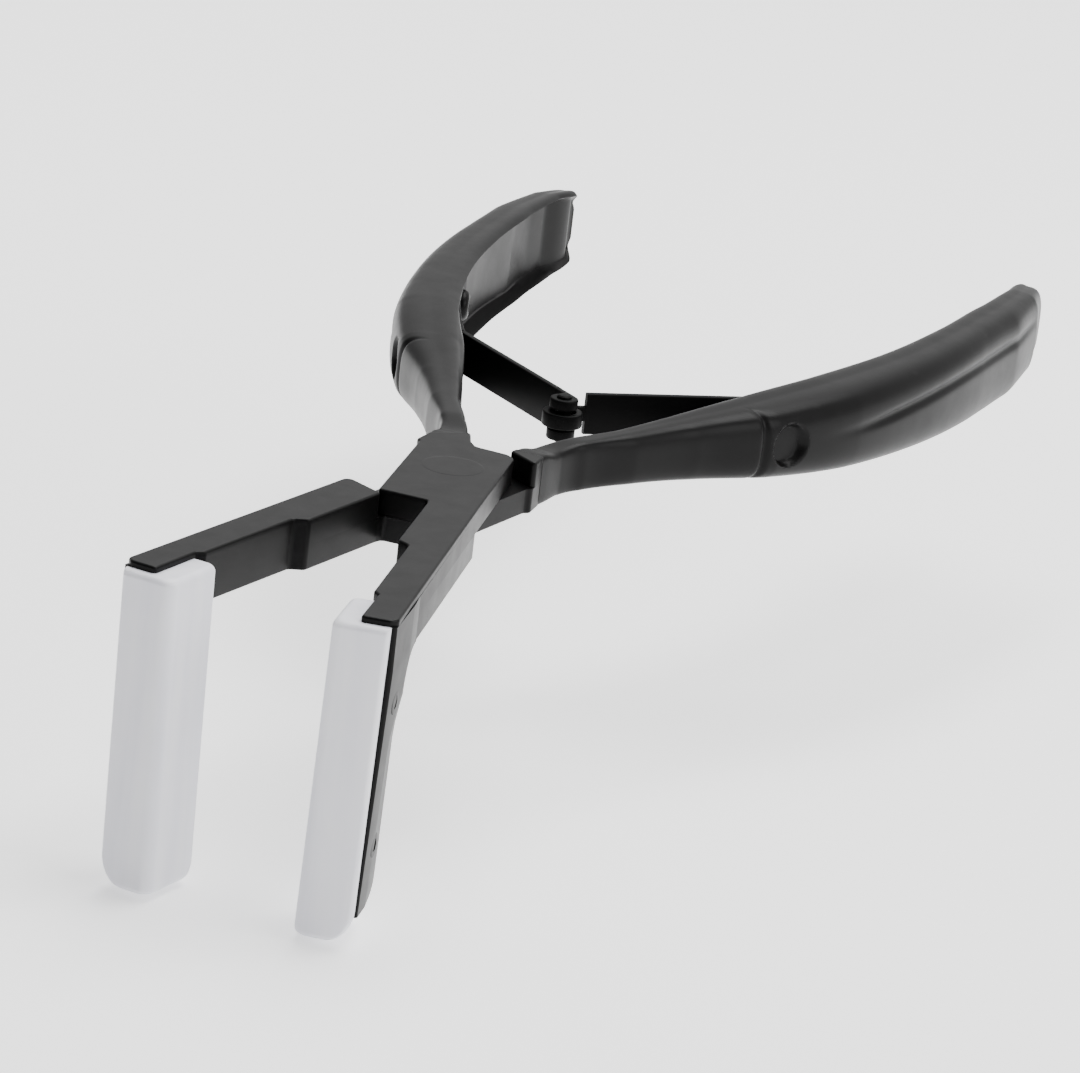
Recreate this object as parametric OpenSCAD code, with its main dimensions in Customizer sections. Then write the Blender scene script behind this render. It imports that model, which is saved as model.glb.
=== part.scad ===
// Flat-pad running pliers: two lapped levers, a flush pivot rivet, hanging soft pads and a double leaf spring.
// Z is the pivot axis with the origin at its middle, the jaws lie toward -Y and the pads hang toward -Z.
// Each lever is drawn with the tool shut, then turned about the pivot to its open rest position.

/* [Joint] */
// Thickness of the forging at the lap joint
lap_t = 6.6; // [6:0.2:8]
// Half width of the lap joint
joint_half_w = 6.3; // [6.2:0.1:6.8]
// Angle that each lever stands open at rest
open_half = 9; // [8:0.2:10]
// Radius of the pivot rivet's shank
rivet_r = 2.8; // [2.5:0.1:3]

/* [Jaws] */
// Distance from the pivot to the front of the steel jaws
jaw_reach = 62; // [60:1:66]
// Outer side of the jaw at the tip, from the middle plane
tip_half_w = 7.8; // [7.6:0.1:8.2]
// Width of the jaw arm's top at the tip
tip_w = 4.4; // [4.2:0.1:4.8]
// Thickness of the steel left over the pad
flange_t = 0.8; // [0.6:0.1:1.2]
// Thickness of the steel plate behind the pad at its top
plate_t = 0.9; // [0.8:0.1:1.1]
// Radius of the blend between the arm and the plate
plate_blend_r = 5; // [4:0.5:6]

/* [Pads] */
// Length of the pad's seat along the jaw
pad_l = 8.6; // [8:0.2:9]
// Distance that the pad stands out in front of the steel
pad_front = 1.3; // [1:0.1:1.6]
// Distance that the pad hangs below the middle of the joint
pad_drop = 37; // [35:1:42]
// Distance that the bottom of the pad leans inward
toe_in = 0.8; // [0:0.1:1]
// Radius at the bottom of the pad on its outer side
pad_bottom_r = 4; // [3:0.5:4.5]
// Radius at the bottom of the pad on its rear side
pad_rear_r = 2.5; // [2:0.5:3]
// Half of the gap between the pads when shut
shut_gap = 0.2; // [0.15:0.05:0.3]
// Radius of a pad screw's shank
pad_screw_r = 0.95; // [0.8:0.05:1]

/* [Springs] */
// Thickness of a leaf spring
leaf_t = 1; // [0.8:0.1:1.2]
// Width of a leaf spring
leaf_w = 5.6; // [5:0.2:6]
// Distance from the pivot to the knuckle of the springs at rest
knuckle_y = 39.4; // [39:0.2:41]
// Radius of the knuckle pin
pin_r = 1; // [0.9:0.05:1.1]
// Clearance of the loose eye round the knuckle pin
eye_play = 0.8; // [0.7:0.1:0.9]
// Wall of a rolled spring eye
eye_wall = 0.9; // [0.8:0.1:1]

/* [Hidden] */
$fn = 64;

half_t = lap_t / 2;
lap_gap = 0.03;
running = 0.05;
seam = 0.02;
over = 1;
head_r = rivet_r + 1.2;
head_h = 1.2;

arm_back = jaw_reach - pad_l;
arm_out = 6.7;
relief_end = 32.4;
relief_depth = 2.3;
seat_jog = 0.8;
tip_corner = 0.9;
shoulder_in = 16.4;
shoulder_out = 14.1;
arm_in_tip = tip_half_w - tip_w;
plate_in = tip_half_w - plate_t;
plate_low = 3.2;
plate_low_t = 0.6;
pad_top = half_t - flange_t - seam;
pad_lip = 0.35;

screw_zs = [-8, -26];
screw_head_r = 1.6;
screw_head_h = 0.7;
screw_l = 4.4;

// Grip stations on the straight lever: distance behind the pivot, inner side, outer side, half height, hollow
GRIP = [
    [17.6, 1.9, 5.9, 3.3, 0],
    [22, 3.2, 6.9, 3.3, 0],
    [30, 5.6, 10.2, 3.4, 0],
    [40, 7.8, 14.5, 3.7, 0],
    [52, 10.4, 20.3, 4.3, 0],
    [67, 13.7, 24.4, 5, 1.5],
    [85, 16, 25.8, 5.4, 3.2],
    [102, 15.9, 25, 5.6, 3.6],
    [118, 13.9, 22.2, 5.6, 3],
    [130, 11.6, 18.6, 5.2, 1.4],
    [136, 10.9, 16.2, 4.5, 0],
    [139, 12.4, 14.2, 3, 0]
];
grip_steps = 5;
hollow_rim = 1.6;
dimple_y = 54;
dimple_slope = 24;
dimple_r = 3;
dimple_depth = 0.8;

root_front = 62;
root_back = 90;
root_screw_y = 83.5;
root_lift = 0.06;
root_screw_r = 1.3;
root_head_r = 2.2;
root_head_h = 1.2;
hinge_gap = 0.35;

// Catmull-Rom curve between b and c
function curve(a, b, c, d, t) =
    0.5 * (2 * b + (c - a) * t + (2 * a - 5 * b + 4 * c - d) * t * t + (3 * b - a - 3 * c + d) * t * t * t);
function station(i) = GRIP[max(0, min(len(GRIP) - 1, i))];
function grip_rows() = concat(
    [for (i = [0 : len(GRIP) - 2]) for (k = [0 : grip_steps - 1])
        curve(station(i - 1), station(i), station(i + 1), station(i + 2), k / grip_steps)],
    [GRIP[len(GRIP) - 1]]);
function reversed(v) = [for (i = [len(v) - 1 : -1 : 0]) v[i]];
function outer_x(rows, y) = lookup(y, [for (r = rows) [r[0], r[2]]]);
function floor_x(rows, y) = lookup(y, [for (r = rows) [r[0], r[1] + max(0, r[4])]]);
function arc(c, r, a0, a1, n = 10) = [for (i = [0 : n]) c + r * [cos(a0 + (a1 - a0) * i / n), sin(a0 + (a1 - a0) * i / n)]];
function turned(p, a) = [p[0] * cos(a) - p[1] * sin(a), p[0] * sin(a) + p[1] * cos(a)];

// Shift of the pad and its plate at a height, which leans them inward toward the bottom
function lean(z) = -toe_in * (half_t - z) / (half_t + pad_drop);

rows = grip_rows();
root_bend = [floor_x(rows, root_front) - leaf_t / 2 - root_lift, root_front];
hinge = turned(root_bend, -open_half);
hinge_d = norm(hinge - [0, knuckle_y]);
hinge_a = atan2(hinge[1] - knuckle_y, hinge[0]);
eye_r = pin_r + eye_wall;
loose_r = pin_r + eye_play;
tongue_half = leaf_w / 2 - 1.8;
lug_in = tongue_half + 0.3;
leaf_start = loose_r + eye_wall + 1;

// Puts a shape drawn for the shut tool into its open place on one side: 1 is the jaw at +X
module opened(side) {
    rotate([0, 0, side * open_half])
        mirror([side < 0 ? 1 : 0, 0, 0])
            children();
}

module extrude_z(z0, z1) {
    translate([0, 0, z0])
        linear_extrude(z1 - z0)
            children();
}

// Outline drawn in Y and Z, extruded along X
module extrude_x(x0, x1) {
    translate([x0, 0, 0])
        rotate([90, 0, 90])
            linear_extrude(x1 - x0)
                children();
}

// Outline drawn in X and Z, extruded along Y
module extrude_y(y0, y1) {
    translate([0, y1, 0])
        rotate([90, 0, 0])
            linear_extrude(y1 - y0)
                children();
}

// Jaw arm, full thickness, from the front shoulder to the tip
module jaw_arm() {
    extrude_z(-half_t, half_t)
        polygon([
            [arm_out, -shoulder_out], [0.5, -shoulder_in], [0.7, -relief_end],
            [relief_depth, -relief_end - 1.2], [arm_in_tip - seat_jog, -arm_back + 1],
            [arm_in_tip, -arm_back], [arm_in_tip, -jaw_reach], [tip_half_w - tip_corner, -jaw_reach],
            [tip_half_w, -jaw_reach + tip_corner]]);
}

// Space under the flange and inside the plate that the pad fills
module pad_seat() {
    low = -pad_drop - over;
    extrude_y(-jaw_reach - over, -arm_back)
        polygon([
            [-over, low], [plate_in + lean(low), low], [plate_in + lean(half_t - flange_t), half_t - flange_t],
            [-over, half_t - flange_t]]);
}

// Outer side of the jaw arm at a distance behind the pivot
function arm_side_x(y) = lookup(y, [[-jaw_reach + tip_corner, tip_half_w], [-shoulder_out, arm_out]]);

// Steel plate that hangs from the arm behind the pad, with a round blend under the arm
module jaw_plate() {
    low = -pad_drop + plate_low;
    intersection() {
        extrude_y(-jaw_reach, -arm_back + plate_blend_r)
            polygon([
                [plate_in + lean(low) - 0.5, half_t - 0.1], [tip_half_w, half_t - 0.1], [tip_half_w, -half_t],
                [plate_in + lean(low) + plate_low_t, low + 1], [plate_in + lean(low) - 0.5, low]]);
        extrude_z(low, half_t)
            polygon([
                [0, -jaw_reach], [tip_half_w - tip_corner, -jaw_reach], [tip_half_w, -jaw_reach + tip_corner],
                [arm_side_x(-arm_back + plate_blend_r), -arm_back + plate_blend_r],
                [0, -arm_back + plate_blend_r]]);
        extrude_x(0, tip_half_w)
            polygon(concat(
                [[-jaw_reach, half_t], [-arm_back + plate_blend_r, half_t], [-arm_back + plate_blend_r, -half_t + 0.5]],
                arc([-arm_back + plate_blend_r, -half_t - plate_blend_r], plate_blend_r, 90, 180),
                arc([-arm_back - pad_rear_r, low + pad_rear_r], pad_rear_r, 0, -90),
                [[-jaw_reach, low]]));
    }
}

// Half-thickness plate of the lap joint, which carries the pivot
module lap_plate(up) {
    z0 = up > 0 ? lap_gap : -half_t;
    extrude_z(z0, z0 + half_t - lap_gap)
        polygon([
            [-joint_half_w + 0.1, -14.1], [0.3, -15.2], [0.5, -shoulder_in], [arm_out, -shoulder_out],
            [joint_half_w, 7.5], [5.3, 8.7], [2.9, 9.3], [0.8, 9.8], [-0.3, 11.8], [-1.6, 16.2],
            [-5.6, 16.2], [-joint_half_w, 12.2]]);
}

// Full-thickness neck between the rear shoulder and the grip
module neck() {
    extrude_z(-half_t, half_t)
        polygon([[-1.7, 11.5], [-1.6, 16.2], [-1.9, 17.7], [-5.9, 17.7], [-5.9, 13.9], [-joint_half_w - 0.5, 9]]);
}

// Bowed grip: its plan outline cut to its side outline, hollowed on the inner side, dimpled outside
module grip() {
    difference() {
        intersection() {
            extrude_z(-10, 10)
                polygon(concat([for (r = rows) [-r[1], r[0]]], reversed([for (r = rows) [-r[2], r[0]]])));
            extrude_x(-30, 0)
                polygon(concat([for (r = rows) [r[0], r[3]]], reversed([for (r = rows) [r[0], -r[3]]])));
        }
        intersection() {
            extrude_z(-10, 10)
                polygon(concat(
                    [for (r = rows) if (r[4] > 0.2) [-r[1] - r[4], r[0]]],
                    reversed([for (r = rows) if (r[4] > 0.2) [-r[1] + over, r[0]]])));
            extrude_x(-30, 0)
                polygon(concat(
                    [for (r = rows) if (r[4] > 0.2) [r[0], r[3] - hollow_rim]],
                    reversed([for (r = rows) if (r[4] > 0.2) [r[0], hollow_rim - r[3]]])));
        }
        translate([-outer_x(rows, dimple_y), dimple_y, 0])
            rotate([0, 90, -dimple_slope])
                translate([0, 0, -over])
                    cylinder(r = dimple_r, h = dimple_depth + over);
        root_screw_place()
            translate([0, 0, -5])
                cylinder(r = root_screw_r + seam, h = 5);
    }
}

// One forged lever, drawn shut with its jaw at +X and its grip at -X
module lever(up) {
    difference() {
        union() {
            difference() {
                union() {
                    jaw_arm();
                    jaw_plate();
                }
                pad_seat();
            }
            lap_plate(up);
            neck();
            grip();
        }
        extrude_z(-over - half_t, half_t + over)
            circle(r = rivet_r + (up > 0 ? running : seam));
        mirror([0, 0, up > 0 ? 0 : 1])
            translate([0, 0, half_t - head_h])
                cylinder(r1 = rivet_r + running, r2 = head_r + running, h = head_h);
        plate_screw_holes();
    }
}

module plate_screw_holes() {
    for (z = screw_zs)
        translate([0, -arm_back - pad_l / 2, z])
            rotate([0, 90, 0]) {
                translate([0, 0, plate_in - over])
                    cylinder(r = pad_screw_r + running, h = plate_t + 2 * over);
                translate([0, 0, outer_plate_x(z) - screw_head_h])
                    cylinder(r1 = pad_screw_r + running, r2 = screw_head_r + running, h = screw_head_h);
            }
}

// Outer face of the tapering plate at a height
function outer_plate_x(z) =
    lookup(z, [
        [-pad_drop + plate_low + 1, plate_in + lean(-pad_drop + plate_low) + plate_low_t],
        [-half_t, tip_half_w]]);

module upper_lever() {
    color("#3a3a3d")
        opened(1)
            lever(1);
}

module lower_lever() {
    color("#303033")
        opened(-1)
            lever(-1);
}

module pivot_rivet() {
    color("#2b2b2d") {
        translate([0, 0, -half_t])
            cylinder(r = rivet_r, h = lap_t);
        for (m = [0, 1])
            mirror([0, 0, m])
                translate([0, 0, half_t - head_h])
                    cylinder(r1 = rivet_r, r2 = head_r, h = head_h);
    }
}

// Front view of the pad out to a side that leans with the plate
module pad_front_view(out) {
    out_low = out + lean(-pad_drop);
    in_low = shut_gap + lean(-pad_drop);
    polygon(concat(
        [[shut_gap + lean(pad_top), pad_top - 0.5], [shut_gap + 0.5, pad_top], [out, pad_top]],
        arc([out_low - pad_bottom_r, -pad_drop + pad_bottom_r], pad_bottom_r, 0, -90),
        arc([in_low + 1, -pad_drop + 1], 1, -90, -180, 4)));
}

// Soft pad with rounded lower corners, a lip over the plate's front edge and blind holes for its screws
module pad() {
    difference() {
        intersection() {
            union() {
                extrude_y(-jaw_reach - pad_front, -arm_back - seam)
                    pad_front_view(plate_in - seam);
                extrude_y(-jaw_reach - pad_front, -jaw_reach - seam)
                    pad_front_view(plate_in + pad_lip);
            }
            extrude_x(-over, tip_half_w)
                polygon(concat(
                    [[-arm_back - seam, pad_top], [-jaw_reach - pad_front, pad_top]],
                    arc([-jaw_reach - pad_front + 1, -pad_drop + 1], 1, 180, 270, 4),
                    arc([-arm_back - pad_rear_r, -pad_drop + pad_rear_r], pad_rear_r - seam, -90, 0)));
        }
        for (z = screw_zs)
            translate([outer_plate_x(z) - screw_l - 0.2, -arm_back - pad_l / 2, z])
                rotate([0, 90, 0])
                    cylinder(r = pad_screw_r + seam, h = screw_l + over);
    }
}

module left_pad() {
    color("#dcdfe4")
        opened(-1)
            pad();
}

module right_pad() {
    color("#dcdfe4")
        opened(1)
            pad();
}

module pad_screws() {
    color("#4a4a4d")
        for (z = screw_zs)
            translate([outer_plate_x(z), -arm_back - pad_l / 2, z])
                rotate([0, 90, 0]) {
                    translate([0, 0, -screw_l])
                        cylinder(r = pad_screw_r, h = screw_l);
                    translate([0, 0, -screw_head_h])
                        cylinder(r1 = pad_screw_r, r2 = screw_head_r, h = screw_head_h);
                }
}

module left_pad_screws() {
    opened(-1)
        pad_screws();
}

module right_pad_screws() {
    opened(1)
        pad_screws();
}

// Place of a root screw on the hollow's floor, with its Z axis toward the inside of the tool
module root_screw_place() {
    slope = atan2(floor_x(rows, root_screw_y + 3) - floor_x(rows, root_screw_y - 3), 6);
    translate([-floor_x(rows, root_screw_y), root_screw_y, 0])
        rotate([0, 90, slope])
            children();
}

// Part of a leaf that lies along the hollow's floor under its screw
module spring_root() {
    ys = [for (i = [0 : 8]) root_front + (root_back - root_front) * i / 8];
    color("#1c1c1e")
        difference() {
            extrude_z(-leaf_w / 2, leaf_w / 2)
                polygon(concat(
                    [for (y = ys) [root_lift - floor_x(rows, y), y]],
                    reversed([for (y = ys) [root_lift + leaf_t - floor_x(rows, y), y]])));
            root_screw_place()
                translate([0, 0, -over])
                    cylinder(r = root_screw_r + seam, h = leaf_t + 2 * over);
        }
}

module left_spring_root() {
    opened(1)
        spring_root();
}

module right_spring_root() {
    opened(-1)
        spring_root();
}

module spring_screw() {
    color("#161618")
        root_screw_place() {
            translate([0, 0, -4.8])
                cylinder(r = root_screw_r, h = 4.8 + root_lift + leaf_t + 0.4);
            translate([0, 0, root_lift + leaf_t + 0.1])
                cylinder(r1 = root_head_r, r2 = root_head_r - 0.5, h = root_head_h);
        }
}

module left_spring_screw() {
    opened(1)
        spring_screw();
}

module right_spring_screw() {
    opened(-1)
        spring_screw();
}

// Puts a leaf that is drawn along +X from the knuckle, its flat offset to one side, at its place at rest
module leaf_place(side, offset) {
    translate([0, knuckle_y, 0])
        mirror([side < 0 ? 1 : 0, 0, 0])
            rotate([0, 0, hinge_a - asin(offset / hinge_d)])
                children();
}

// Free part of a leaf between its bend at the grip and the knuckle
module leaf_strip(offset) {
    l = sqrt(hinge_d * hinge_d - offset * offset) - hinge_gap;
    translate([leaf_start, offset - leaf_t / 2, -leaf_w / 2])
        cube([l - leaf_start, leaf_t, leaf_w]);
}

// Rolled eye whose wall runs into the leaf's flat
module leaf_eye(outer, inner, z0, z1) {
    difference() {
        union() {
            translate([0, 0, z0])
                cylinder(r = outer, h = z1 - z0);
            translate([0, outer - leaf_t, z0])
                cube([leaf_start + seam, leaf_t, z1 - z0]);
        }
        translate([0, 0, z0 - over])
            cylinder(r = inner, h = z1 - z0 + 2 * over);
    }
}

// Two outer lugs rolled tightly round the pin
module left_spring_leaf() {
    color("#1c1c1e")
        leaf_place(-1, eye_r - leaf_t / 2) {
            leaf_strip(eye_r - leaf_t / 2);
            leaf_eye(eye_r, pin_r + seam, lug_in, leaf_w / 2);
            leaf_eye(eye_r, pin_r + seam, -leaf_w / 2, -lug_in);
        }
}

// Middle tongue with an open eye round the pin
module right_spring_leaf() {
    color("#1c1c1e")
        leaf_place(1, loose_r + eye_wall - leaf_t / 2) {
            leaf_strip(loose_r + eye_wall - leaf_t / 2);
            leaf_eye(loose_r + eye_wall, loose_r, -tongue_half, tongue_half);
        }
}

module spring_pin() {
    color("#161618")
        translate([0, knuckle_y, -leaf_w / 2 - 0.4])
            cylinder(r = pin_r, h = leaf_w + 0.8);
}

upper_lever();
lower_lever();
pivot_rivet();
left_pad();
right_pad();
left_pad_screws();
right_pad_screws();
left_spring_root();
right_spring_root();
left_spring_leaf();
right_spring_leaf();
left_spring_screw();
right_spring_screw();
spring_pin();
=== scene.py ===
"""Looks of the flat-pad running pliers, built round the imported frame.

Shapes are worked out in millimetres on the shut tool, with one lever's jaw at +X and its grip at -X.
Each is then mirrored and turned to its open place, and written to its mesh in metres.
"""
import math

import bpy
import numpy as np
from mathutils import Matrix, Vector


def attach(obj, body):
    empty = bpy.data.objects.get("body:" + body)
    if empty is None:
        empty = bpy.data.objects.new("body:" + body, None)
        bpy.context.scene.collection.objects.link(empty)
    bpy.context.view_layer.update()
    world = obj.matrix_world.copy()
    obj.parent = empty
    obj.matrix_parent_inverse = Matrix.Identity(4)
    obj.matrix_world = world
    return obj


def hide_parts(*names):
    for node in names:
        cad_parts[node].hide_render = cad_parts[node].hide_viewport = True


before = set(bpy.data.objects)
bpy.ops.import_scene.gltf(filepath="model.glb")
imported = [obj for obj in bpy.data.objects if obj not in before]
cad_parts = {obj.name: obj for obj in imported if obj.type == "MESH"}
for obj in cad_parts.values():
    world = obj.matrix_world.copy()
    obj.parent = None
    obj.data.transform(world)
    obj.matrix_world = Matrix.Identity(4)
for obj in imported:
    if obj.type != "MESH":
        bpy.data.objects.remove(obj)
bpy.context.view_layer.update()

MM = 0.001
OPEN = math.radians(9)
QUARTER = math.pi / 2

# Lap joint and jaw arms
HALF_T = 3.3
LAP_GAP = 0.03
FLANGE_Z = 2.5
TIP_Y = -62.0
SEAT_Y = -53.4
TIP_IN = 3.4
TIP_OUT = 7.8
TIP_CORNER = 0.9
ARM_ROOT_X = 6.7
ARM_LENGTH = 47.0
EDGE_R = 0.3
SUPPORT = 0.05

# Hanging plates
PLATE_IN = 6.9
PLATE_LOW = -33.8
PLATE_FOOT_T = 0.6
PLATE_FOOT_R = 2.5
BLEND_R = 5.0
TOE_IN = 0.8

# Pads
PAD_LOW = -37.0
PAD_TOP = 2.48
PAD_FRONT = -63.3
PAD_IN = 0.2
PAD_LIP = 0.35
PAD_EDGE_R = 1.0
PAD_REAR_R = 2.5
PAD_OUTER_R = 4.0
PAD_TOP_R = 0.8
SEAM = 0.02

# Springs: the left leaf's lugs hold the pin tightly, the right leaf's loosely
KNUCKLE_Y = 39.4
LEAF_T = 1.0
LEAF_W = 5.6
LEAF_EDGE_R = 0.22
TIGHT_MID = 1.4
LOOSE_MID = 2.2
LEAF_START = 3.7
HINGE = np.array([22.656, 59.185])
HINGE_GAP = 0.35
ROOT_SCREW_Y = 83.5

# Marks on the grip's outer side
RECESS_Y = 54.0
RECESS_R = 3.1
RECESS_DEPTH = 1.15
LINE_AHEAD = 4.2
LINE_DEPTH = 0.42
CREASE_DEPTH = 0.5

# Grip stations: distance behind the pivot, inner side, outer side, half height, hollow
GRIP = np.array([
    [17.6, 1.9, 5.9, 3.3, 0],
    [22, 3.2, 6.9, 3.3, 0],
    [30, 5.6, 10.2, 3.4, 0],
    [40, 7.8, 14.5, 3.7, 0],
    [52, 10.4, 20.3, 4.3, 0],
    [67, 13.7, 24.4, 5, 1.5],
    [85, 16, 25.8, 5.4, 3.2],
    [102, 15.9, 25, 5.6, 3.6],
    [118, 13.9, 22.2, 5.6, 3],
    [130, 11.6, 18.6, 5.2, 1.4],
    [136, 10.9, 16.2, 4.5, 0],
    [139, 12.4, 14.2, 3, 0],
])
GRIP_START = 17.6
GRIP_END = 139.0
GRIP_ROUND = 160
GRIP_WALL = 1.7


# ---------------------------------------------------------------- shared shape work

def smooth(t):
    """Cubic ease from 0 to 1."""
    t = np.clip(t, 0, 1)
    return t * t * (3 - 2 * t)


def drawn_in(r, d):
    """How far a quarter circle of radius r has turned inwards after the distance d along its start."""
    d = np.clip(d, 0, r)
    return r - np.sqrt(np.maximum(r * r - d * d, 0))


def catmull(table, y):
    """Catmull-Rom curve through the table's rows, read at y by even steps between neighbouring rows."""
    last = len(table) - 1
    i = np.clip(np.searchsorted(table[:, 0], y, side="right") - 1, 0, last - 1)
    a = table[np.maximum(i - 1, 0)]
    b = table[i]
    c = table[i + 1]
    d = table[np.minimum(i + 2, last)]
    t = ((y - b[:, 0]) / (c[:, 0] - b[:, 0]))[:, None]
    square = (2 * a - 5 * b + 4 * c - d) * t ** 2
    cube = (3 * b - a - 3 * c + d) * t ** 3
    return 0.5 * (2 * b + (c - a) * t + square + cube)


def rounded(corners, radii, steps=6):
    """Closed outline with each corner replaced by a circular arc.

    Each arc is the rational quadratic curve between the two tangent points, weighted by the sine of half
    the corner's angle. corners is (..., count, 2) and the result is (..., count * steps, 2).
    """
    p = np.asarray(corners, float)
    radii = np.broadcast_to(np.asarray(radii, float), p.shape[:-1])
    before = np.roll(p, 1, axis=-2) - p
    after = np.roll(p, -1, axis=-2) - p
    length_before = np.linalg.norm(before, axis=-1)
    length_after = np.linalg.norm(after, axis=-1)
    unit_before = before / length_before[..., None]
    unit_after = after / length_after[..., None]
    cosine = (unit_before * unit_after).sum(-1)
    half = 0.5 * np.arccos(np.clip(cosine, -0.99999, 0.99999))
    reach = np.minimum(radii / np.tan(half), 0.48 * np.minimum(length_before, length_after))
    start = (p + unit_before * reach[..., None])[..., None, :]
    end = (p + unit_after * reach[..., None])[..., None, :]
    s = np.linspace(0, 1, steps)[:, None]
    pull = 2 * np.sin(half)[..., None, None] * s * (1 - s)
    top = (1 - s) ** 2 * start + pull * p[..., None, :] + s ** 2 * end
    curve = top / ((1 - s) ** 2 + pull + s ** 2)
    return curve.reshape(*p.shape[:-2], -1, 2)


def outward(outline):
    """Unit normals of a counter-clockwise outline, from the chord between each point's neighbours."""
    d = np.roll(outline, -1, axis=0) - np.roll(outline, 1, axis=0)
    n = np.stack([d[:, 1], -d[:, 0]], axis=1)
    return n / np.maximum(np.linalg.norm(n, axis=1), 1e-9)[:, None]


def grid_faces(rows, cols):
    """Quads of a grid that is closed across its columns."""
    i, j = np.meshgrid(np.arange(rows - 1), np.arange(cols), indexing="ij")
    k = (j + 1) % cols
    f = np.stack([i * cols + j, i * cols + k, (i + 1) * cols + k, (i + 1) * cols + j], axis=-1)
    return f.reshape(-1, 4).tolist()


def shell(rings):
    """Closed skin over a stack of rings (rows, cols, 3), with a flat face at each end."""
    rows, cols = rings.shape[:2]
    faces = grid_faces(rows, cols)
    faces.append(list(range(cols))[::-1])
    faces.append(list(range((rows - 1) * cols, rows * cols)))
    return rings.reshape(-1, 3), faces


def at_heights(corners, radii, z, steps):
    """Rings of a rounded outline whose corners change with height.

    corners is a list of (x, y) pairs, each a pair of arrays along z.
    """
    points = np.stack([np.stack(pair, -1) for pair in corners], axis=1)
    outline = rounded(points, radii, steps)
    heights = np.broadcast_to(z[:, None, None], outline.shape[:2] + (1,))
    return np.concatenate([outline, heights], axis=-1)


def slab(corners, radii, z0, z1, low_r=0.0, top_r=0.0):
    """Plate between two heights.

    Its rounded outline is drawn in along its normals by a quarter circle at each softened edge.
    """
    outline = rounded(corners, radii)
    following = np.roll(outline, -1, axis=0)
    area = 0.5 * np.sum(outline[:, 0] * following[:, 1] - outline[:, 1] * following[:, 0])
    if area < 0:
        outline = outline[::-1]
    turn = np.linspace(0, QUARTER, 6)
    rows = [(0, z0)]
    if low_r:
        rows = [(low_r + SUPPORT, z0)]
        rows += [(low_r * (1 - math.sin(t)), z0 + low_r * (1 - math.cos(t))) for t in turn]
    if top_r:
        rows += [(top_r * (1 - math.cos(t)), z1 - top_r * (1 - math.sin(t))) for t in turn]
        rows.append((top_r + SUPPORT, z1))
    else:
        rows.append((0, z1))
    inset, z = np.array(rows, float).T[:, :, None]
    flat = outline - outward(outline) * inset[..., None]
    heights = np.broadcast_to(z[..., None], flat.shape[:2] + (1,))
    return shell(np.concatenate([flat, heights], axis=-1))


def joined(parts):
    """One list of points and faces from several closed skins."""
    points, faces, base = [], [], 0
    for p, f in parts:
        points.append(np.asarray(p, float))
        faces += [[v + base for v in face] for face in f]
        base += len(p)
    return np.concatenate(points), faces


def opened(points, side):
    """Takes points from the shut tool to their open place: mirrored in X for side -1, then turned."""
    x = points[:, 0] * side
    y = points[:, 1]
    c = math.cos(side * OPEN)
    s = math.sin(side * OPEN)
    return np.column_stack([x * c - y * s, x * s + y * c, points[:, 2]])


def piece(name, points, faces, material, body, node, flip=False, sharp=32):
    """Makes the mesh object, ties it to its body and hides the imported part named by node.

    It is shaded smooth except at edges sharper than the given angle.
    """
    if flip:
        faces = [list(f)[::-1] for f in faces]
    mesh = bpy.data.meshes.new(name)
    mesh.from_pydata((np.asarray(points) * MM).tolist(), [], faces)
    mesh.validate()
    mesh.update()
    mesh.shade_smooth()
    mesh.set_sharp_from_angle(angle=math.radians(sharp))
    mesh.materials.append(material)
    obj = bpy.data.objects.new(name, mesh)
    bpy.context.scene.collection.objects.link(obj)
    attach(obj, body)
    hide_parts(node)


def lathe(profile, count=48, hex_rows=()):
    """Turned shape about +Z from (radius, height) pairs.

    Rows named in hex_rows follow a hexagon: the radius is divided by the cosine of the angle from the
    nearest flat's middle.
    """
    a = np.arange(count) / count * 2 * math.pi
    sector = (a + math.pi / 6) % (math.pi / 3) - math.pi / 6
    r, z = np.array(profile, float).T[:, :, None]
    is_hex = np.isin(np.arange(len(profile)), hex_rows)[:, None]
    radius = r * np.where(is_hex, 1 / np.cos(sector), 1.0)
    height = np.broadcast_to(z, radius.shape)
    return shell(np.stack([radius * np.cos(a), radius * np.sin(a), height], axis=-1))


def placed(points, origin, z_axis):
    """Moves points drawn about +Z so that +Z runs along z_axis and the origin is at the given place."""
    z = np.array(z_axis, float)
    z /= np.linalg.norm(z)
    x = np.array((0, 0, 1), float)
    x -= z * (x @ z)
    x /= np.linalg.norm(x)
    y = np.cross(z, x)
    return points @ np.array([x, y, z]) + np.array(origin)


# ---------------------------------------------------------------- materials

def node_tree(name):
    """New material, with its shader and a source of object coordinates."""
    material = bpy.data.materials.new(name)
    material.use_nodes = True
    tree = material.node_tree
    shader = tree.nodes["Principled BSDF"]
    coords = tree.nodes.new("ShaderNodeTexCoord")
    return material, tree, shader, coords


def noise(tree, coords, scale, detail=4.0, rough=0.55, stretch=(1, 1, 1)):
    """Cloudy noise from 0 to 1 over the object's own coordinates."""
    mapping = tree.nodes.new("ShaderNodeMapping")
    mapping.inputs["Scale"].default_value = stretch
    tree.links.new(coords.outputs["Object"], mapping.inputs["Vector"])
    n = tree.nodes.new("ShaderNodeTexNoise")
    n.inputs["Scale"].default_value = scale
    n.inputs["Detail"].default_value = detail
    n.inputs["Roughness"].default_value = rough
    tree.links.new(mapping.outputs["Vector"], n.inputs["Vector"])
    return n.outputs["Fac"]


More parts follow.
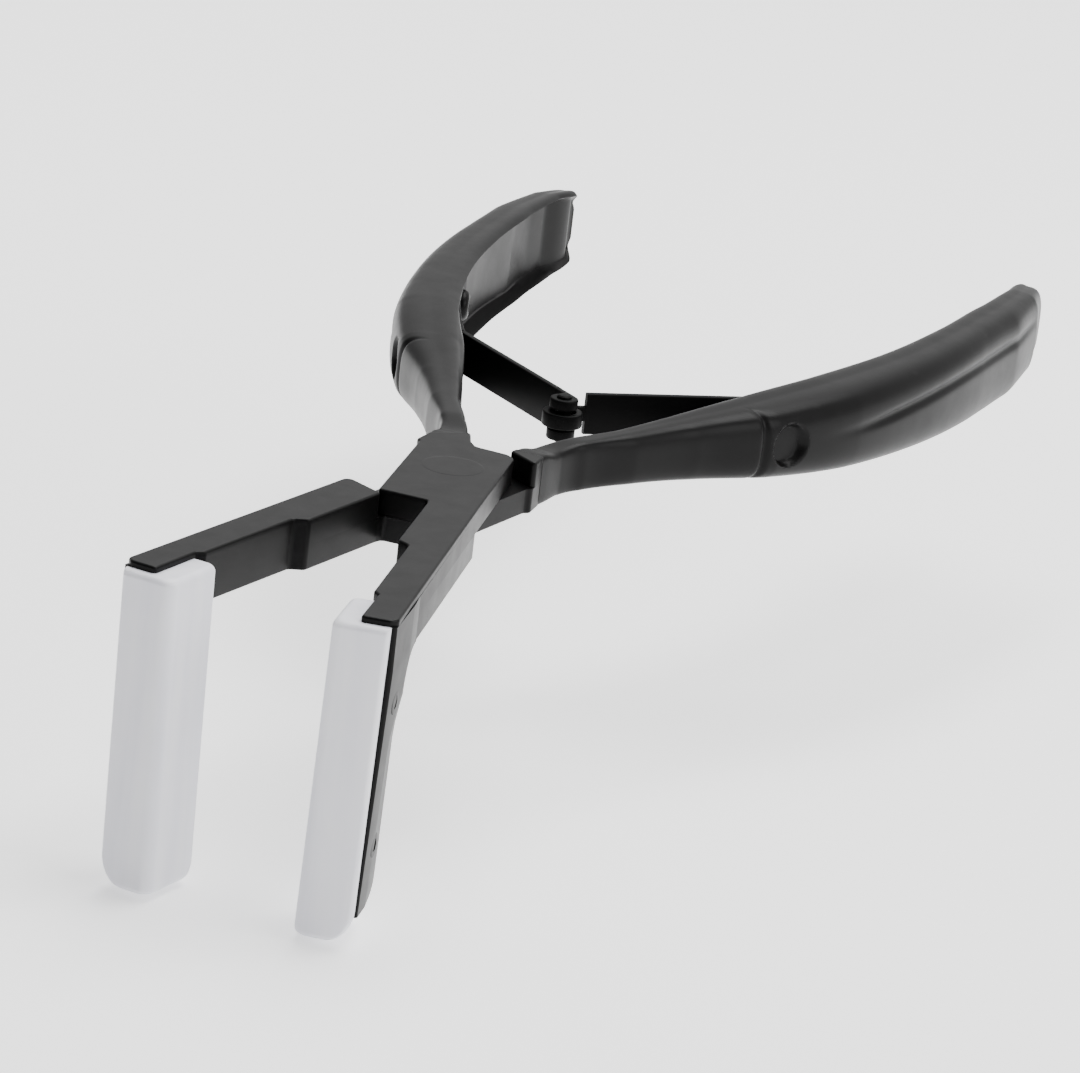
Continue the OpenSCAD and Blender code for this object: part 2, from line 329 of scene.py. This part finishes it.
def ramp(tree, fac, stops):
    """Colour ramp through (position, colour) stops."""
    r = tree.nodes.new("ShaderNodeValToRGB")
    r.color_ramp.elements[0].position = stops[0][0]
    r.color_ramp.elements[0].color = stops[0][1]
    r.color_ramp.elements[1].position = stops[-1][0]
    r.color_ramp.elements[1].color = stops[-1][1]
    for position, colour in stops[1:-1]:
        r.color_ramp.elements.new(position).color = colour
    tree.links.new(fac, r.inputs["Fac"])
    return r.outputs["Color"]


def grey(v, tint=(1, 1, 1)):
    """Grey of one brightness, shifted by a tint."""
    return (v * tint[0], v * tint[1], v * tint[2], 1)


def remap(tree, fac, low, high, a=0.3, b=0.7):
    """Straight-line change of the range a to b into low to high."""
    m = tree.nodes.new("ShaderNodeMapRange")
    m.inputs["From Min"].default_value = a
    m.inputs["From Max"].default_value = b
    m.inputs["To Min"].default_value = low
    m.inputs["To Max"].default_value = high
    tree.links.new(fac, m.inputs["Value"])
    return m.outputs["Result"]


def bump(tree, shader, heights):
    """Chains bump nodes: each entry is (height output, distance in metres, strength)."""
    last = None
    for height, distance, strength in heights:
        b = tree.nodes.new("ShaderNodeBump")
        b.inputs["Distance"].default_value = distance
        b.inputs["Strength"].default_value = strength
        tree.links.new(height, b.inputs["Height"])
        if last:
            tree.links.new(last, b.inputs["Normal"])
        last = b.outputs["Normal"]
    tree.links.new(last, shader.inputs["Normal"])


def worn_edges(tree, colour, base, tint, edge):
    """Lightens the coating on raised edges, found by the surface's pointiness."""
    geometry = tree.nodes.new("ShaderNodeNewGeometry")
    worn = remap(tree, geometry.outputs["Pointiness"], 0.0, edge, 0.53, 0.62)
    mix = tree.nodes.new("ShaderNodeMix")
    mix.data_type = "RGBA"
    tree.links.new(worn, mix.inputs["Factor"])
    tree.links.new(colour, mix.inputs["A"])
    mix.inputs["B"].default_value = grey(base * 4.0, tint)
    return mix.outputs["Result"]


def coated_steel(name, base, rough, tint=(1.0, 0.96, 0.98), edge=0.0, gloss=0.1):
    """Satin black coating: cloudy tone, patchy gloss, fine grain, a soft orange peel and light edge wear."""
    material, tree, shader, coords = node_tree(name)
    clouds = noise(tree, coords, 140, 5)
    colour = ramp(tree, clouds, [
        (0.3, grey(base * 0.82, tint)),
        (0.55, grey(base, tint)),
        (0.75, grey(base * 1.2, tint))])
    if edge:
        colour = worn_edges(tree, colour, base, tint, edge)
    tree.links.new(colour, shader.inputs["Base Color"])
    shader.inputs["Specular IOR Level"].default_value = gloss
    patches = noise(tree, coords, 260, 6, 0.6)
    tree.links.new(remap(tree, patches, rough - 0.025, rough + 0.035), shader.inputs["Roughness"])
    grain = noise(tree, coords, 5200, 3, 0.6)
    peel = noise(tree, coords, 900, 2)
    bump(tree, shader, [(peel, 0.00002, 0.05), (grain, 0.000006, 0.45)])
    return material


def milky_nylon():
    """Soft white nylon: faint streaks along its height, cloudy tone, light passing a little way in."""
    material, tree, shader, coords = node_tree("milky_nylon")
    streaks = noise(tree, coords, 420, 3, 0.5, (1, 1, 0.06))
    clouds = noise(tree, coords, 60, 3)
    mix = tree.nodes.new("ShaderNodeMath")
    mix.operation = "MULTIPLY_ADD"
    tree.links.new(streaks, mix.inputs[0])
    mix.inputs[1].default_value = 0.45
    tree.links.new(remap(tree, clouds, 0.2, 0.36), mix.inputs[2])
    colour = ramp(tree, mix.outputs[0], [
        (0.36, (0.68, 0.685, 0.74, 1)),
        (0.5, (0.75, 0.75, 0.80, 1)),
        (0.64, (0.80, 0.80, 0.83, 1))])
    tree.links.new(colour, shader.inputs["Base Color"])
    tree.links.new(remap(tree, clouds, 0.42, 0.55), shader.inputs["Roughness"])
    shader.inputs["Subsurface Weight"].default_value = 0.25
    shader.inputs["Subsurface Radius"].default_value = (1.0, 0.95, 1.0)
    shader.inputs["Subsurface Scale"].default_value = 0.0015
    fine = noise(tree, coords, 2600, 3)
    bump(tree, shader, [(streaks, 0.00003, 0.15), (fine, 0.00001, 0.2)])
    return material


lever_finish = coated_steel("black_lever_steel", 0.0028, 0.34, edge=0.3)
spring_finish = coated_steel("dark_spring_steel", 0.0015, 0.45, (1, 1, 1.02), gloss=0.06)
screw_finish = coated_steel("blackened_screw", 0.002, 0.36)
rivet_finish = coated_steel("ground_rivet", 0.0028, 0.34)
pad_finish = milky_nylon()


# ---------------------------------------------------------------- levers

# Lap outline from the arm's root back along the outer side, round the neck and forward again
LAP = [(ARM_ROOT_X, -14.1), (6.3, 7.5), (5.3, 8.7), (2.9, 9.3), (0.8, 9.8), (-0.3, 11.8), (-1.15, 15.3),
       (-5.95, 12.6), (-6.8, 9.0), (-6.27, 8.4), (-6.2, -14.1), (0.3, -15.2), (0.5, -16.4)]
LAP_R = [6, 1.5, 1.5, 2, 1.2, 2, 0.5, 0.8, 1, 1, 0.5, 0.5, 0.5]
ARM_ROOT = [(ARM_ROOT_X, -14.1), (0.5, -16.4)]
ARM_ROOT_R = [1.0, 0.6]
ARM_IN = [(0.7, -32.4), (2.3, -33.6), (TIP_IN - 0.8, SEAT_Y + 1), (TIP_IN, SEAT_Y)]
ARM_IN_R = [0.9, 0.9, 0.6, 0.2]
TIP = [(TIP_IN, TIP_Y), (TIP_OUT - TIP_CORNER, TIP_Y), (TIP_OUT, TIP_Y + TIP_CORNER)]
TIP_R = [0.5, 0.8, 0.8]
BACK = [(TIP_OUT - 0.15, SEAT_Y)]
BACK_R = [0.1]
NECK = [(-1.7, 11.5), (-1.75, 12.8), (-5.9, 12.8), (-6.8, 9.0)]
NECK_R = [0.5, 0.3, 0.3, 0.5]


def slabs(up):
    """The lap, arm and neck as flat plates stacked in Z, so that each step in height is a real one."""
    whole = (LAP + ARM_IN + TIP, LAP_R + ARM_IN_R + TIP_R)
    seatless = (LAP + ARM_IN + BACK, LAP_R + ARM_IN_R + BACK_R)
    arm_tip = (ARM_ROOT + ARM_IN + TIP, ARM_ROOT_R + ARM_IN_R + TIP_R)
    arm = (ARM_ROOT + ARM_IN + BACK, ARM_ROOT_R + ARM_IN_R + BACK_R)
    neck = (NECK, NECK_R)
    if up:
        return [
            slab(*whole, FLANGE_Z, HALF_T, 0, EDGE_R),
            slab(*seatless, LAP_GAP, FLANGE_Z),
            slab(*arm, -HALF_T, LAP_GAP, EDGE_R, 0),
            slab(*neck, -HALF_T, LAP_GAP, EDGE_R, 0),
        ]
    return [
        slab(*arm_tip, FLANGE_Z, HALF_T, 0, EDGE_R),
        slab(*arm, -LAP_GAP, FLANGE_Z),
        slab(*neck, -LAP_GAP, HALF_T, 0, EDGE_R),
        slab(*seatless, -HALF_T, -LAP_GAP, EDGE_R, 0),
    ]


def lean(z):
    """Sideways shift of the pad and its plate, which grows evenly from the arm's top to the pad's bottom."""
    return -TOE_IN * (HALF_T - z) / (HALF_T - PAD_LOW)


def arm_side(y):
    """Outer side of the arm, a straight line from the tip back to the lap."""
    return TIP_OUT - (y - TIP_Y - TIP_CORNER) * (TIP_OUT - ARM_ROOT_X) / ARM_LENGTH


def plate_out(z, low):
    """Outer face of the plate, which thins evenly from the arm down to the height given as low."""
    depth = np.clip((-HALF_T - z) / (-HALF_T - low), 0, 1)
    foot = PLATE_IN + lean(PLATE_LOW) + PLATE_FOOT_T
    return TIP_OUT + (foot - TIP_OUT) * depth


def plate_heights():
    """Heights of the plate's rings, close together in the blend under the arm and round the bottom corner."""
    z = np.concatenate([
        np.linspace(FLANGE_Z - 0.005, -HALF_T, 6),
        -HALF_T - BLEND_R * (1 - np.cos(np.linspace(0.12, QUARTER, 12))),
        np.linspace(-10, -31.3, 12),
        PLATE_LOW + PLATE_FOOT_R * (1 - np.sin(np.linspace(0.1, QUARTER, 9)))])
    return np.unique(z)


def plate():
    """Hanging plate: a rounded rectangle at each height, leaned with the pad.

    Its rear is drawn out by a quarter circle under the arm and in again by a smaller one at its foot.
    """
    z = plate_heights()
    x0 = PLATE_IN + lean(z)
    x1 = plate_out(z, PLATE_LOW)
    under = np.maximum(-HALF_T - z, 0)
    rear = SEAT_Y + drawn_in(BLEND_R, BLEND_R - under)
    rear = rear - drawn_in(PLATE_FOOT_R, PLATE_LOW + PLATE_FOOT_R - z)
    front = np.full_like(z, TIP_Y)
    lower = smooth((z + 14) / 10)
    rear_side = np.minimum(x0 + 0.35 + (x1 - x0) * lower, arm_side(rear))
    corners = [
        (x0, rear), (x0, front), (x1 - 0.25, front), (x1, front + 0.25),
        (x1, np.minimum(rear - 0.6, -58 + 5 * lower)), (rear_side, rear)]
    return shell(at_heights(corners, [0.1, 0.15, 0.2, 0.2, 0.5, 0.15], z, 5))


def grip_rows():
    """Stations of the grip, closest together at the neck, round the recess and at the end.

    Both sides flare towards the lap. The belly is slimmed on its outer side, the end is swung outward
    and thinned, and the hollow deepens towards the end but always leaves a wall.
    """
    y = np.concatenate([
        np.linspace(12.3, 20, 28), np.linspace(20.4, 48.5, 60), np.linspace(48.8, 58.2, 46),
        np.linspace(58.6, 132, 140), np.linspace(132.4, GRIP_END - 0.1, 26)])
    _, inner, outer, height, hollow = catmull(GRIP, np.clip(y, GRIP_START, GRIP_END)).T
    flare = 1 - smooth((y - 13.4) / 4.2)
    swing = 0.9 * smooth((y - 112) / 20)
    thin = 0.9 * smooth((y - 95) / 35) * smooth((142 - y) / 12)
    slim = 0.7 * smooth((y - 26) / 20) * (1 - smooth((y - 104) / 16))
    inner = inner - 0.25 * flare + swing + thin
    outer = outer + 0.16 * flare + swing - slim
    hollow = np.maximum(hollow, 0) + 1.3 * smooth((y - 116) / 10) * smooth((139.3 - y) / 2.5)
    hollow = np.minimum(hollow, outer - inner - GRIP_WALL).clip(0)
    return y, inner, outer, height, hollow


def outer_marks(y, z):
    """Depth pressed into the grip's outer side.

    A round recess, a fine line across in front of it, and a long soft crease that climbs to the end.
    """
    far = np.sqrt((y - RECESS_Y) ** 2 + z ** 2)
    recess = RECESS_DEPTH * smooth((RECESS_R - far) / 0.8)
    line = LINE_DEPTH * np.exp(-((y - RECESS_Y + LINE_AHEAD) / 0.45) ** 2)
    climb = 0.4 + 2.0 * smooth((y - 58) / 45)
    crease = CREASE_DEPTH * np.exp(-((z - climb) / 0.75) ** 2)
    return recess + line + crease * smooth((y - 59) / 18) * smooth((133 - y) / 12)


def grip():
    """Bowed grip: a superellipse at each station, read at even angles, squarest at the neck.

    Its inner side is pressed flat and in by the station's hollow between two thin rims, which spread up
    and down. Behind the lap its top and bottom dip and rise again, and its end closes by a quarter circle.
    """
    y, x_in, x_out, h, hollow = np.array(grip_rows())[:, :, None]
    belly = smooth((y - 22) / 40)
    dip = 0.24 * smooth((y - 13.4) / 3.2) * (1 - smooth((y - 17.2) / 6))
    h = h + 0.75 * belly - dip - 0.02
    power = 9.0 - 3.5 * smooth((y - 13.0) / 5) - 2.2 * smooth((y - 17.5) / 14)
    angle = np.arange(GRIP_ROUND) / GRIP_ROUND * 2 * math.pi
    cs = np.cos(angle)[None]
    sn = np.sin(angle)[None]
    reach = (np.abs(cs) ** power + np.abs(sn) ** power) ** (-1 / power)
    closing = drawn_in(1.0, 1 - np.clip((GRIP_END - y) / 3.2, 0, 1))
    z = h * sn * reach * (1 - 0.75 * closing)
    x = -0.5 * (x_out + x_in) + 0.5 * (x_out - x_in) * cs * reach
    pressed = smooth((h - 0.95 - np.abs(z)) / 0.8) * (cs > 0)
    x = x + (-x_in - hollow - x) * pressed
    x = x + outer_marks(y, z) * smooth(-cs * 4)
    rim = belly * smooth(cs)
    z = z - 0.45 * belly - dip - 1.4 * rim * smooth(-1.6 * sn) + 0.6 * rim * smooth(1.6 * sn)
    rings = np.stack([x, np.broadcast_to(y, x.shape), z], axis=-1)
    return shell(rings[:, ::-1])


def build_lever(name, up, side, body):
    """One forging: its stacked slabs, hanging plate and grip."""
    points, faces = joined(slabs(up) + [plate(), grip()])
    piece(name + "_forging", opened(points, side), faces, lever_finish, body, name,
          flip=side < 0)


build_lever("upper_lever", True, 1, "upper")
build_lever("lower_lever", False, -1, "lower")


# ---------------------------------------------------------------- pads

def pad_heights():
    """Heights of the pad's rings, close together where its bottom and top edges turn."""
    turn = np.linspace(0, QUARTER, 12)
    z = np.concatenate([
        PAD_LOW + PAD_OUTER_R * (1 - np.cos(turn)),
        PAD_LOW + np.array([0.02, 0.1, 0.25, 0.5, 0.8]),
        np.linspace(-32.5, 1.4, 28),
        PAD_TOP - 0.9 * (1 - np.sin(turn))])
    return np.unique(np.round(z, 4))


def pad():
    """Soft pad: a rounded outline with a lip in front of the plate at each height, leaned like the plate.

    Toward the bottom each side is drawn in by its own quarter circle, and toward the top by a small one.
    """
    z = pad_heights()
    up = z - PAD_LOW
    edge = drawn_in(PAD_EDGE_R, PAD_EDGE_R - up)
    top = drawn_in(PAD_TOP_R, z - (PAD_TOP - PAD_TOP_R))
    x_in = PAD_IN + lean(z) + edge + top
    x_out = PLATE_IN - SEAM + lean(z) - drawn_in(PAD_OUTER_R, PAD_OUTER_R - up) * 0.9
    front = PAD_FRONT + edge + top
    rear = SEAT_Y - SEAM - drawn_in(PAD_REAR_R, PAD_REAR_R - up) - 0.3 * top
    step = np.full_like(z, TIP_Y - SEAM)
    corners = [
        (x_in, rear), (x_in, front), (x_out + PAD_LIP, front),
        (x_out + PAD_LIP, step), (x_out, step), (x_out, rear)]
    return shell(at_heights(corners, [0.7, 1.5, 0.9, 0.15, 0.1, 0.4], z, 8))


def build_pad(name, side, body):
    """One pad in its open place."""
    points, faces = pad()
    piece(name + "_block", opened(points, side), faces, pad_finish, body, name,
          flip=side < 0, sharp=50)


build_pad("right_pad", 1, "upper")
build_pad("left_pad", -1, "lower")


# ---------------------------------------------------------------- springs, pin, screws and rivet

def strip(path, width, thickness, z_mid=0.0):
    """Rounded rectangle carried along a plan path.

    Its long side runs along Z and its short side along the path's normal.
    """
    path = np.asarray(path, float)
    d = np.gradient(path, axis=0)
    d /= np.linalg.norm(d, axis=1)[:, None]
    n = np.column_stack([-d[:, 1], d[:, 0]])
    hw = width / 2
    ht = thickness / 2
    section = rounded([(-ht, -hw), (ht, -hw), (ht, hw), (-ht, hw)], LEAF_EDGE_R, 5)
    xy = path[:, None, :] + n[:, None, :] * section[None, :, :1]
    zz = np.broadcast_to(section[None, :, 1:] + z_mid, xy.shape[:2] + (1,))
    return shell(np.concatenate([xy, zz], axis=-1)[:, ::-1])


def leaf_point(side, offset):
    """Gives the leaf's length and a function from leaf coordinates to the plan at rest.

    Leaf coordinates are (along, across) about the knuckle. The leaf lies the given offset beside the
    knuckle's centre and ends just short of its bend.
    """
    v = HINGE - np.array([0, KNUCKLE_Y])
    dist = np.linalg.norm(v)
    a = math.atan2(v[1], v[0]) - math.asin(offset / dist)
    length = math.sqrt(dist ** 2 - offset ** 2) - HINGE_GAP

    def place(points):
        p = np.asarray(points, float)
        x = p[:, 0] * math.cos(a) - p[:, 1] * math.sin(a)
        y = p[:, 0] * math.sin(a) + p[:, 1] * math.cos(a) + KNUCKLE_Y
        return np.column_stack([x * side, y])
    return place, length


def leaf(side, mid_r, lugs):
    """Leaf: a straight strip from near the knuckle to its bend, with narrow strips rolled round the pin."""
    place, length = leaf_point(side, mid_r)
    along = np.linspace(LEAF_START, length, 24)
    blade = np.column_stack([along, np.full_like(along, mid_r)])
    parts = [strip(place(blade), LEAF_W, LEAF_T - 0.02)]
    turn = np.radians(np.linspace(90, 90 + 335, 40))
    lead = np.linspace(LEAF_START + 0.25, 0.3, 8)
    roll = np.concatenate([
        np.column_stack([lead, np.full_like(lead, mid_r)]),
        np.column_stack([mid_r * np.cos(turn), mid_r * np.sin(turn)])])
    for z_mid, width in lugs:
        parts.append(strip(place(roll), width, LEAF_T - 0.06, z_mid))
    return joined(parts)


def hollow_floor(y):
    """Sideways place of the hollow's floor at distances behind the pivot."""
    rows = catmull(GRIP, y)
    return -(rows[:, 1] + np.maximum(rows[:, 4], 0))


def root():
    """Fixed end of a leaf: a strip laid along the hollow's floor."""
    y = np.linspace(62.0, 90.0, 40)
    x = hollow_floor(y) + 0.06 + LEAF_T / 2
    return strip(np.column_stack([x, y]), LEAF_W, LEAF_T)


def root_screw():
    """Button-head screw: a low dome with a six-sided socket, standing straight out of the hollow's floor."""
    profile = [(1.2, 0.2), (1.3, 1.2), (1.3, 1.16), (2.05, 1.16), (2.2, 1.26), (2.2, 1.5), (2.05, 1.9),
               (1.75, 2.2), (1.4, 2.34), (1.12, 2.36), (1.02, 2.3), (1.0, 2.2), (0.98, 1.4), (0.4, 1.35)]
    points, faces = lathe(profile, 48, hex_rows=(9, 10, 11, 12, 13))
    y = np.array([ROOT_SCREW_Y - 3, ROOT_SCREW_Y, ROOT_SCREW_Y + 3])
    x = hollow_floor(y)
    place = (x[1], ROOT_SCREW_Y, 0)
    out = (y[2] - y[0], x[0] - x[2], 0)
    return placed(points, place, out), faces


def pad_screws():
    """Flush countersunk screws with a six-sided socket, on the plate's outer face."""
    profile = [(0.8, -4.2), (0.95, -4.0), (0.95, -0.75), (1.55, -0.05), (1.52, 0.03), (1.3, 0.06),
               (0.75, 0.06), (0.68, 0.0), (0.66, -0.5), (0.3, -0.52)]
    points, faces = lathe(profile, 36, hex_rows=(6, 7, 8, 9))
    parts = []
    for z in (-8.0, -26.0):
        place = (plate_out(z, PLATE_LOW + 1), -57.7, z)
        parts.append((placed(points, place, (1, 0, 0)), faces))
    return joined(parts)


def pin():
    """Knuckle pin with a low domed head at each end."""
    z = LEAF_W / 2 + 0.4
    profile = [(0.3, -z), (0.75, -z + 0.03), (0.95, -z + 0.18), (1.0, -z + 0.4),
               (1.0, z - 0.4), (0.95, z - 0.18), (0.75, z - 0.03), (0.3, z)]
    points, faces = lathe(profile, 40)
    return points + np.array([0, KNUCKLE_Y, 0]), faces


def rivet():
    """Flush rivet: two ground heads a hair proud of the lap, with a fine turned edge."""
    z = HALF_T + 0.006
    profile = [(1.0, -z), (3.6, -z), (3.96, -z + 0.001), (4.0, -z + 0.01), (2.8, -2.1),
               (2.8, 2.1), (4.0, z - 0.01), (3.96, z - 0.001), (3.6, z), (1.0, z)]
    return lathe(profile, 72)


for side, body, name in ((1, "upper", "left"), (-1, "lower", "right")):
    points, faces = root()
    piece(name + "_spring_fixed_end", opened(points, side), faces, spring_finish, body,
          name + "_spring_root", flip=side < 0)
    points, faces = root_screw()
    piece(name + "_spring_button_screw", opened(points, side), faces, screw_finish, body,
          name + "_spring_screw", flip=side < 0)

for side, body, name in ((1, "upper", "right"), (-1, "lower", "left")):
    points, faces = pad_screws()
    piece(name + "_pad_screw_pair", opened(points, side), faces, screw_finish, body,
          name + "_pad_screws", flip=side < 0)


def leaf_piece(name, side, mid_r, lugs, body):
    """One leaf. lugs lists (middle height, width) of the strips rolled round the pin."""
    points, faces = leaf(side, mid_r, lugs)
    piece(name + "_strip", points, faces, spring_finish, body, name, flip=side < 0)


leaf_piece("left_spring_leaf", -1, TIGHT_MID, [(2.05, 1.46), (-2.05, 1.46)], "left_leaf")
leaf_piece("right_spring_leaf", 1, LOOSE_MID, [(0.0, 1.96)], "right_leaf")

points, faces = pin()
piece("knuckle_pin", points, faces, spring_finish, "left_leaf", "spring_pin")
points, faces = rivet()
piece("pivot_rivet_heads", points, faces, rivet_finish, "lower", "pivot_rivet")


# ---------------------------------------------------------------- camera, floor and light

AZIMUTH = math.radians(19.148)
ELEVATION = math.radians(17.902)
ROLL = math.radians(6.683)
EYE = Vector((0.24615, -0.67276, 0.22680))
FLOOR_Z = -0.0376


def view_axes():
    """The camera's right, up and backward directions, from its azimuth, elevation and roll."""
    flat = math.cos(ELEVATION)
    back = Vector((math.sin(AZIMUTH) * flat, -math.cos(AZIMUTH) * flat, math.sin(ELEVATION)))
    level = Vector((math.cos(AZIMUTH), math.sin(AZIMUTH), 0))
    above = back.cross(level)
    right = level * math.cos(ROLL) + above * math.sin(ROLL)
    up = above * math.cos(ROLL) - level * math.sin(ROLL)
    return right, up, back


def camera():
    data = bpy.data.cameras.new("camera")
    data.lens = 200
    data.sensor_width = 36
    data.clip_start = 0.05
    obj = bpy.data.objects.new("camera", data)
    obj.matrix_world = Matrix.Translation(EYE) @ Matrix(view_axes()).transposed().to_4x4()
    bpy.context.scene.collection.objects.link(obj)
    bpy.context.scene.camera = obj


def floor():
    half = 3.0
    mesh = bpy.data.meshes.new("floor")
    corners = [(-half, -half, FLOOR_Z), (half, -half, FLOOR_Z), (half, half, FLOOR_Z), (-half, half, FLOOR_Z)]
    mesh.from_pydata(corners, [], [(0, 1, 2, 3)])
    material, tree, shader, coords = node_tree("pale_floor")
    tone = ramp(tree, noise(tree, coords, 3, 2), [(0.3, grey(0.93)), (0.7, grey(0.96))])
    tree.links.new(tone, shader.inputs["Base Color"])
    shader.inputs["Roughness"].default_value = 0.9
    shader.inputs["Specular IOR Level"].default_value = 0.1
    shader.inputs["Emission Color"].default_value = (1, 1, 1, 1)
    shader.inputs["Emission Strength"].default_value = 0.6
    mesh.materials.append(material)
    obj = bpy.data.objects.new("floor", mesh)
    bpy.context.scene.collection.objects.link(obj)


def studio_world():
    """Soft surround that brightens evenly towards the high rear right."""
    world = bpy.data.worlds.new("studio")
    world.use_nodes = True
    sky = world.node_tree
    direction = sky.nodes.new("ShaderNodeTexCoord")
    slope = sky.nodes.new("ShaderNodeVectorMath")
    slope.operation = "DOT_PRODUCT"
    slope.inputs[1].default_value = (0.25, 0.75, 0.6)
    sky.links.new(direction.outputs["Generated"], slope.inputs[0])
    bright = remap(sky, slope.outputs["Value"], 0, 1, -0.5, 0.8)
    tone = ramp(sky, bright, [(0.0, grey(0.16)), (0.45, grey(0.3)), (1.0, grey(1.0))])
    sky.links.new(tone, sky.nodes["Background"].inputs["Color"])
    sky.nodes["Background"].inputs["Strength"].default_value = 1.1
    bpy.context.scene.world = world


def lamp(name, place, target, size, power):
    """Rectangular soft light that looks from its place to its target."""
    data = bpy.data.lights.new(name, "AREA")
    data.shape = "RECTANGLE"
    data.size, data.size_y = size
    data.energy = power
    obj = bpy.data.objects.new(name, data)
    direction = Vector(target) - Vector(place)
    obj.rotation_euler = direction.to_track_quat("-Z", "Y").to_euler()
    obj.location = place
    bpy.context.scene.collection.objects.link(obj)


camera()
floor()
studio_world()
lamp("overhead", (0.1, 0.35, 0.9), (0, 0.02, 0), (0.9, 0.7), 16)
lamp("right_side", (0.9, -0.1, 0.35), (0, 0, 0), (0.6, 0.5), 5)
